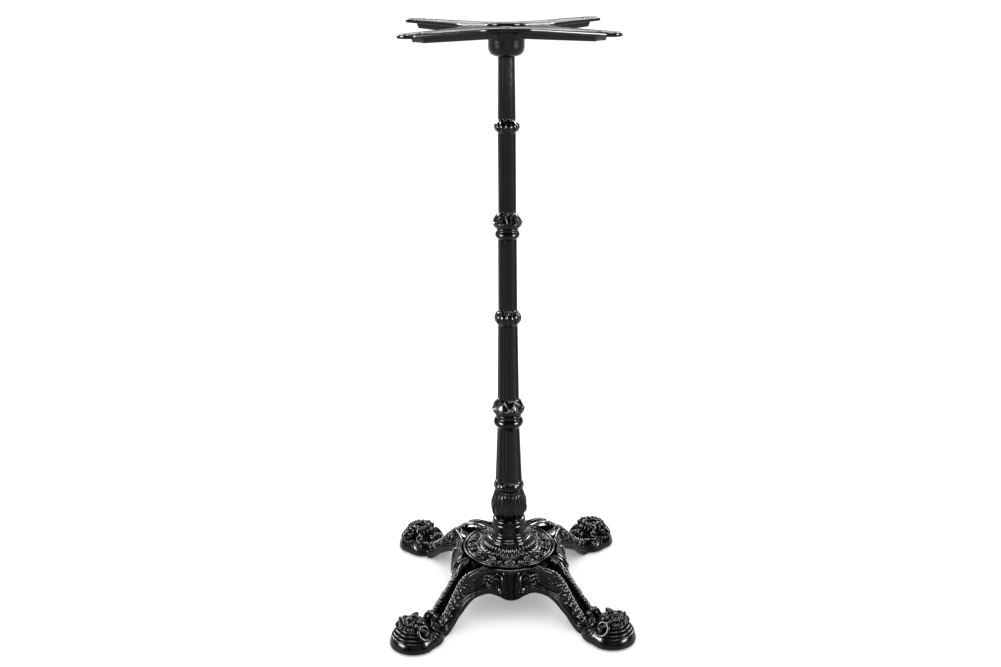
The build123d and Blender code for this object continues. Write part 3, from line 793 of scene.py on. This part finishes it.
def trough():
    """The sunken channel between a leg's two rims, which starts level with the deck."""
    reach = np.linspace(92, 206, 70)
    half = rim_half_width(reach) - 5.0
    high = rim_z(reach) - 2.0
    low = np.minimum(DECK_TOP_Z, rim_z(reach) - TROUGH_DEPTH) + 0.3
    wall = 4.0
    inner = [(half, high), (half - 0.6, (high + low) / 2), (half - 1.6, low + 1.2), (half * 0.5, low)]
    outer = [(half + wall, high), (half + wall, low - wall)]
    ring = [(-aside, z) for aside, z in inner] + inner[::-1] + outer
    ring += [(-aside, z) for aside, z in outer[::-1]]
    return swept(np.stack([points_from(reach, aside, z) for aside, z in ring], axis=1))


def beaded_rim(shells):
    """The carved rim of a leg: round beads and slanting leaves in turn, on a rounded strip."""
    reach = np.linspace(127, 209, 60)
    path = points_from(reach, rim_half_width(reach) - 4.6, rim_z(reach) - 5.0)
    shells.add(*tube(path, 4.4 * smooth_step((reach - 124) / 8), sides=14))
    steps = distances(path)
    for place in np.arange(4.0, steps[-1] - 3, BEAD_PITCH):
        bead, before, after = [np.array([np.interp(place + shift, steps, path[:, k]) for k in range(3)])
                               for shift in (0, 0.30 * BEAD_PITCH, 0.80 * BEAD_PITCH)]
        middle = (before + after) / 2
        shells.add(*button(bead + [0, 0.6, 3.0], (4.6, 4.6), columns=14))
        shells.rod([before + [0, -4.4, 2.0], middle + [0, 0, 5.4], after + [0, 4.6, 1.6]],
                   [1.8, 3.2, 1.8], count=14)
        shells.add(*button(middle + [0, 5.2, -1.0], (2.6, 2.6), rings=6, columns=10))


def land(side):
    """The sunk strip between a trough's edge and the skirt's bead."""
    reach = np.linspace(88, 138, 30)
    inner = points_from(reach, side * (rim_half_width(reach) - 2), rim_z(reach) - 2.5)
    outer = inner.copy()
    outer[:, 1] += side * np.linspace(16, 1.5, 30)
    outer[:, 2] -= 1.5
    drop = np.array([0, 0, 4.0])
    return swept(np.stack([inner, outer, outer - drop, inner - drop], axis=1))


def trough_edge(side):
    """The rounded edge of a trough, beside the rosette."""
    reach = np.linspace(90, 134, 40)
    path = points_from(reach, side * (rim_half_width(reach) - 3.4), rim_z(reach) - 2.2)
    return tube(path, np.linspace(1.6, 2.6, 40), sides=10)


# --- Feet ---
def foot_outline(count):
    """The floor outline of a foot, as the hull of its toe and heel circles."""
    angle = circle(count)
    slant = math.asin((FOOT_RADIUS - HEEL_RADIUS) / (FOOT_REACH - HEEL_REACH))
    toe = np.abs(angle - math.pi) > math.pi / 2 + slant
    centre = np.where(toe, FOOT_REACH, HEEL_REACH)
    radius = np.where(toe, FOOT_RADIUS, HEEL_RADIUS)
    return centre + radius * np.cos(angle), radius * np.sin(angle)


def shoe_loops(x, y, steps):
    """The foot's outline at each (distance inwards, height) step."""
    loops = []
    for inward, z in steps:
        size = 1 - inward / FOOT_SCALE_RADIUS
        loops.append(points_from(FOOT_MIDDLE + (x - FOOT_MIDDLE) * size, y * size, z))
    return loops


def shoe():
    """The smooth round paw: its skin leans in as it rises, and rolls over to a flat crown."""
    x, y = foot_outline(120)
    under = [(9.0, 12.0), (9.0, 3.0)]
    skin = spline([(2.0, 3.0), (0.0, 4.0), (0.6, 9.0), (2.6, 15.0), (5.6, 20.5), (9.5, 25.5),
                   (13.0, 28.8), (15.6, 29.6), (18.0, 29.0), (30.0, 31.5)], 44)
    return swept(np.array(shoe_loops(x, y, under) + shoe_loops(x, y, skin)))


def on_dome(heading, climb, lift):
    """A point of the scroll body, at an angle round it and an angle up it."""
    wide = np.sign(np.cos(climb)) * np.abs(np.cos(climb)) ** 0.85
    return points_from(DOME_REACH + (DOME_LENGTH + lift) * wide * np.cos(heading),
                       (DOME_WIDTH + lift) * wide * np.sin(heading),
                       DOME_Z + (DOME_HEIGHT + lift) * np.sin(climb))


def dome():
    """The scroll's body: a crowned lump on top of the paw."""
    climb = np.linspace(-0.4, math.pi / 2 - 0.03, 30)
    return swept(on_dome(*np.meshgrid(circle(72), climb), 0.0))


def toe_folds(shells):
    """Reeded folds round the toe, stepping up from the shoe to the crown."""
    for inset, z, spread, size in ((7.0, 22.5, 64, 2.0), (10.5, 27.6, 70, 2.3), (15.0, 33.0, 72, 2.4),
                                   (19.5, 38.4, 62, 2.2)):
        angle = np.radians(np.linspace(-spread, spread, 9))
        radius = FOOT_RADIUS - inset
        path = points_from(FOOT_REACH + 2 + radius * np.cos(angle), radius * np.sin(angle),
                           z - 1.5 * np.abs(angle))
        shells.rod(path, [1.0, size, size, size, 1.0], count=40)


def foot_carving(shells):
    """The carving on one flank of a foot, which is then mirrored to the other."""
    scroll(shells, (256, 29.0, 36.5), (0.1, 1.0, 0.7), 18.0, 3.3, 2.6, -1.3)
    # lumps inside the big scroll
    for reach, z in ((260.5, 41.5), (250.5, 39.0), (256.0, 31.0)):
        shells.add(*button((reach, 32.5 - 0.3 * (z - 36), z), (3.6, 3.2), out=(0.1, 1.0, 0.6)))
    scroll(shells, (228, 25.5, 35.5), (-0.25, 1.0, 0.8), 10.0, 3.0, 2.6, -1.3)
    # pearls from the big scroll round towards the toe
    for heading in np.radians([48, 30, 12]):
        shells.add(*button(on_dome(heading, 0.78, 0.6), (4.2, 4.2), out=(0.4, 0.3, 1)))
    for heading, climb, size in ((1.30, 0.98, 5.0), (0.78, 1.12, 4.4), (0.30, 1.06, 3.8),
                                 (2.0, 1.12, 4.6)):
        shells.add(*button(on_dome(heading, climb, 0.6), (size, size), out=(0.2, 0.3, 1)))
    # a small curl over the crown beside the flower
    scroll(shells, (247, 11.5, 48.0), (-0.2, 0.5, 1.0), 7.0, 2.5, 0.5, 1.25)
    # the leaf turned down beside the heel
    shells.rod([(236, 33, 27), (230, 35.5, 21), (222, 35.5, 14), (214, 33, 7)], [1.6, 3.2, 3.0, 1.2])
    shells.rod([(243, 37.5, 25), (237, 40.5, 18.5), (230, 41, 11)], [1.2, 2.4, 1.0])
    shells.rod([(227, 29.5, 27), (220, 31, 21), (212, 31.5, 15)], [1.2, 2.4, 1.0])
    # leaf ribs fanning from the ankle up to the crown
    for spread in (27, 56):
        rise = np.linspace(0.0, 1.0, 6)
        heading = math.pi - math.radians(spread) * (0.55 + 0.45 * rise)
        path = [on_dome(h, 0.12 + 1.02 * c, 1.2) for h, c in zip(heading, rise)]
        shells.rod(path, [2.2, 3.6, 4.4, 4.6, 4.0], flat=0.9, sides=12)


def foot_ornament(shells):
    """Everything carved on a foot."""
    half = Shells()
    foot_carving(half)
    shells.merge_pair(half)
    toe_folds(shells)
    shells.rod([on_dome(math.pi, 0.12 + 1.02 * c, 1.2) for c in np.linspace(0, 1, 6)],
               [2.2, 3.8, 4.8, 4.8, 4.2], flat=0.9, sides=12)
    flower(shells, (264, 0, 49.2), (0.45, 0, 1.0), 8.6)
    # the rolled lobes that close the trough at the ankle
    for offset in (-8.5, 0, 8.5):
        height = 42.0 - 0.05 * offset ** 2
        shells.rod([(199, offset * 0.8, 24), (203, offset, height - 5), (210, offset * 1.1, height),
                    (218, offset * 1.15, height - 4), (222, offset * 1.15, 32)],
                   [2.2, 4.0, 5.0, 4.2, 2.4], sides=12)


def legs_and_feet(leg_material, foot_material):
    """Four legs and four feet, made once and turned to each corner."""
    leg = Shells().add(*trough())
    half = Shells()
    beaded_rim(half)
    leg.merge_pair(half)
    for side in (-1, 1):
        leg.add(*land(side))
        leg.add(*trough_edge(side))
    foot = Shells().add(*shoe()).add(*dome())
    foot_ornament(foot)
    for number, angle in enumerate(CORNER_ANGLES, start=1):
        piece(f"base_leg_{number}", leg.turned(angle), leg_material, "base_casting")
        piece(f"base_foot_{number}", foot.turned(angle), foot_material, "base_casting")


def skirts(material):
    """Four skirts, made once and turned to each side."""
    apron = Apron(lengths=330, heights=49)
    side = Shells().add(*apron.shell())
    bead = apron.grid[:, 0][np.abs(apron.aside[:, 0]) < 80][::3]
    side.add(*tube(bead + [0.4, 0, 0.8], tapered(len(bead), 1.4, 3.6, 1.4), sides=12))
    half = Shells()
    apron_ornament(half, apron)
    side.merge_pair(half)
    for number, angle in enumerate(SIDE_ANGLES, start=1):
        piece(f"base_skirt_{number}", side.turned(angle), material, "base_casting")


def deck(material):
    """The floor of the base under the rosette, with the boss that carries the column."""
    side = [(DECK_HALF_WIDTH, -DECK_CORNER, 0), (DECK_HALF_WIDTH, DECK_CORNER, 0)]
    corners = np.vstack([turn(side, math.radians(angle)) for angle in SIDE_ANGLES])
    steps = ((0.97, DECK_THICKNESS), (1.0, 4.0), (1.0, 1.0), (0.99, 0.0))
    loops = [corners * size + [0, 0, DECK_TOP_Z - down] for size, down in steps]
    shells = Shells().add(*swept(np.array(loops)))
    boss = profile([(17, 57, 0), (17, 64, 0), (20, 68, 0), (17, 72, 0), (17, 112, 0)], 2.0)
    shells.add(*lathe(boss, smooth_skin, 48))
    piece("base_deck", shells, material, "base_casting")


# --- Top plate ---
def eased(start, corner, end, low, high, count):
    """Part of the curve that rounds a corner."""
    t = np.linspace(low, high, count)[:, None]
    return (1 - t) ** 2 * start + 2 * t * (1 - t) * corner + t ** 2 * end


def plate_outline():
    """The X of four arms with rounded tips, joined by webs with a soft notch between arms."""
    notch = np.array([WEB_RADIUS, WEB_RADIUS]) / math.sqrt(2)
    root = np.array(ARM_ROOT)
    neck = np.array([ARM_REACH - ARM_END_RADIUS, ARM_END_RADIUS])
    away = notch + (root - notch) * 0.4
    web = eased(away[::-1], notch, away, 0.5, 1.0, 5)
    bend = eased(root + (notch - root) * 0.25, root, root + (neck - root) * 0.08, 0.0, 1.0, 5)
    side = np.linspace(root + (neck - root) * 0.2, neck, 6)[:-1]
    tip = np.radians(np.linspace(90, 0, 9))
    end = np.stack([ARM_REACH - ARM_END_RADIUS + ARM_END_RADIUS * np.cos(tip),
                    ARM_END_RADIUS * np.sin(tip)], axis=-1)
    half = np.vstack([web, bend, side, end])
    arm = np.vstack([half * [1, -1], half[-2:0:-1]])
    arm = np.column_stack([arm, np.zeros(len(arm))])
    return np.vstack([turn(arm, math.radians(angle)) for angle in CORNER_ANGLES])


def plate(shells):
    """The flat plate with rounded edges and its central hole."""
    line = plate_outline()
    along = np.roll(line, -1, axis=0) - np.roll(line, 1, axis=0)
    out = unit(points_from(along[:, 1], -along[:, 0], 0))
    centre = unit(line)
    arc = [(PLATE_ROUNDING * (1 - math.cos(t)), PLATE_ROUNDING * (1 - math.sin(t)))
           for t in np.radians([0, 30, 60, 90])]
    bottom = TOP_Z - PLATE_THICKNESS
    loops = [line - out * inset + [0, 0, TOP_Z - down] for inset, down in arc]
    loops += [centre * (PLATE_HOLE_RADIUS + inset) + [0, 0, TOP_Z - down] for inset, down in arc[::-1]]
    loops += [centre * (PLATE_HOLE_RADIUS + inset) + [0, 0, bottom + down] for inset, down in arc]
    loops += [line - out * inset + [0, 0, bottom + down] for inset, down in arc[::-1]]
    shells.add(*wrapped(np.array(loops)))


def wall_section(depth):
    """The outline of a rib's wall, as (distance in from its outer face, height) points."""
    low, top = TOP_Z - depth, TOP_Z - PLATE_THICKNESS + 0.4
    return [(0, top), (0, low + 1.3), (0.4, low + 0.4), (1.3, low), (RIB_WALL - 1.3, low),
            (RIB_WALL - 0.4, low + 0.4), (RIB_WALL, low + 1.3), (RIB_WALL, top)]


def arm_rib():
    """The open box under one arm: two long walls that get shallower outwards, and a sloping end."""
    rib = Shells()
    depths = ((26, RIB_ROOT_DEPTH), (120, 17.2), (RIB_END_REACH - 4, RIB_END_DEPTH + 0.1))
    for side in (-1, 1):
        loops = [[(reach, side * (RIB_HALF_WIDTH - inward), z) for inward, z in wall_section(depth)]
                 for reach, depth in depths]
        rib.add(*swept(np.array(loops)))
    slope = 5.0 / (RIB_END_DEPTH - PLATE_THICKNESS)
    bottom = TOP_Z - PLATE_THICKNESS
    section = [(RIB_END_REACH - inward - (bottom - z) * slope, z)
               for inward, z in wall_section(RIB_END_DEPTH)]
    widest, next_in = RIB_HALF_WIDTH - 0.2, RIB_HALF_WIDTH - 1.2
    loops = [[(reach, aside, z) for reach, z in section]
             for aside in (-widest, -next_in, next_in, widest)]
    return rib.add(*swept(np.array(loops)))


def screw_holes():
    """The countersunk holes to cut from the plate."""
    below, sink, above = TOP_Z - 12, TOP_Z - 2.2, TOP_Z + 0.2
    line = np.array([(0.01, below), (SCREW_HOLE_RADIUS, below), (SCREW_HOLE_RADIUS, sink),
                     (SCREW_SINK_RADIUS, above), (0.01, above)])
    angle = circle(28)
    radius, z = line[:, :1], line[:, 1:]
    loops = points_from(radius * np.cos(angle), radius * np.sin(angle), z)
    holes = Shells()
    for directions, reaches in ((CORNER_ANGLES, SCREW_REACHES), (SIDE_ANGLES, [WEB_SCREW_REACH])):
        for direction in directions:
            for reach in reaches:
                hole = Shells().add(*swept(loops + [reach, 0, 0]))
                holes.merge(hole.turned(direction))
    return holes


def cut(made, shells):
    """Takes shells out of a piece."""
    tool = mesh_object(made.name + "_tool", shells, made.data.materials[0])
    step = made.modifiers.new("holes", "BOOLEAN")
    step.operation = "DIFFERENCE"
    step.solver = "EXACT"
    step.object = tool
    result = bpy.data.meshes.new_from_object(made.evaluated_get(bpy.context.evaluated_depsgraph_get()))
    made.modifiers.clear()
    made.data = result
    bpy.data.objects.remove(tool)


HUB_SHELL = [(16.0, 1029.0, 0), (17.0, 1029.0, 4.2), (31.0, 1044.0, 0), (31.2, 1058.0, 0),
             (33.5, 1063.5, 0), (36.0, 1069.0, 0), (44.0, 1075.0, 0), (37.4, 1075.4, 0),
             (30.0, 1068.0, 0), (25.5, 1059.0, 0), (25.5, CUP_Z + 5, 1.4), (20.0, CUP_Z, 0),
             (6.8, CUP_Z, 0), (6.8, 1030.0, 0), (16.0, 1029.0, 0)]


def spider(material):
    """The top plate: flat arms with boxed ribs under them, and the cup over the column."""
    flat = Shells()
    plate(flat)
    top = piece("top_plate", flat, material, "top_spider")
    cut(top, screw_holes())
    top.data.set_sharp_from_angle(angle=SHARP_ANGLE)
    under = Shells()
    for angle in CORNER_ANGLES:
        under.merge(arm_rib().turned(angle))
    under.add(*lathe(profile(HUB_SHELL, 1.2)[:-1], smooth_skin, 96, wrapped))
    made = piece("top_ribs_and_cup", under, material, "top_spider")
    made.data.set_sharp_from_angle(angle=SHARP_ANGLE)


# --- Stage ---
def paper():
    """White backing paper, a little brighter than the light that falls on it."""
    made, _, shader = blank_material("paper")
    shader.inputs["Base Color"].default_value = (0.93, 0.93, 0.93, 1)
    shader.inputs["Roughness"].default_value = 0.8
    shader.inputs["Emission Color"].default_value = (1, 1, 1, 1)
    shader.inputs["Emission Strength"].default_value = 0.25
    return made


def floor():
    """A pale seamless floor."""
    mesh = bpy.data.meshes.new("floor")
    size = FLOOR_HALF_SIZE
    corners = [(-size, -size, 0), (size, -size, 0), (size, size, 0), (-size, size, 0)]
    mesh.from_pydata(corners, [], [(0, 1, 2, 3)])
    mesh.materials.append(paper())
    add_object("floor", mesh)


def softbox(name, place, size, radiance):
    """A light, wide by tall, that only shows as a reflection: the floor keeps its soft shadow."""
    data = bpy.data.lights.new(name, "AREA")
    data.shape = "RECTANGLE"
    data.size, data.size_y = size
    data.energy = radiance * math.pi * size[0] * size[1]
    light = add_object(name, data)
    light.location = place
    towards = Vector(LIGHT_TARGET) - Vector(place)
    light.rotation_euler = towards.to_track_quat("-Z", "Y").to_euler()
    light.visible_diffuse = False


def lights():
    """An even white surround, with softboxes for the long highlights."""
    world = bpy.data.worlds.new("studio")
    bpy.context.scene.world = world
    world.use_nodes = True
    background = world.node_tree.nodes["Background"]
    background.inputs["Color"].default_value = (1, 1, 1, 1)
    background.inputs["Strength"].default_value = 1.05
    world.cycles_visibility.glossy = False
    bpy.context.scene.view_settings.view_transform = "Standard"
    softbox("key", (-2.75, -1.35, 1.44), (1.4, 1.04), 100)
    softbox("fill", (2.7, -1.45, 1.41), (1.2, 1.02), 92)
    softbox("front", (0.3, -3.2, 1.2), (2.6, 2.6), 0.6)
    softbox("left", (-3.2, 0.4, 2.2), (2.0, 1.8), 3.0)
    softbox("right", (3.2, 0.6, 2.2), (2.0, 1.8), 2.8)
    softbox("back", (0.2, 3.8, 1.70), (4.0, 0.5), 2.6)
    softbox("back_left", (-1.8, 2.6, 2.3), (1.0, 1.2), 70)
    softbox("back_right", (1.9, 2.5, 2.3), (1.0, 1.2), 64)
    softbox("top", (0.0, -0.2, 3.4), (1.4, 1.4), 34)


def camera():
    """The camera that the object is seen with in its picture."""
    data = bpy.data.cameras.new("camera")
    data.lens = CAMERA_LENS
    made = add_object("camera", data)
    place = Vector((CAMERA_ASIDE * MM, -CAMERA_DISTANCE * MM, CAMERA_HEIGHT * MM))
    made.matrix_world = (Matrix.Rotation(-OBJECT_TURN, 4, "Z") @ Matrix.Translation(place)
                         @ Matrix.Rotation(math.pi / 2 - CAMERA_PITCH, 4, "X")
                         @ Matrix.Rotation(CAMERA_ROLL, 4, "Z"))
    bpy.context.scene.camera = made


def finish_cad_nodes(plain):
    """The CAD nodes that stay in view get the same finishes."""
    slots = {"black_enamel": plain, "zinc_steel": zinc(), "glide_plastic": moulded()}
    for part in frame["record"]["subparts"]:
        shown = frame["nodes"][part["node"]]
        shown.data.materials.clear()
        shown.data.materials.append(slots[part["material_slot"]])


# Copies of one enamel that differ only in how strong the painted highlight on raised detail is: none on
# the plain parts, and more in turn on the turned, carved and beaded ones
plain = enamel("black_enamel_plain", 0.0)
cast = enamel("black_enamel_cast", 0.5)
carved = enamel("black_enamel_carved", 1.5)
beaded = enamel("black_enamel_beaded", 3.6)
finish_cad_nodes(plain)
column(cast)
rosette(carved)
skirts(carved)
legs_and_feet(beaded, cast)
deck(plain)
spider(plain)
floor()
lights()
camera()
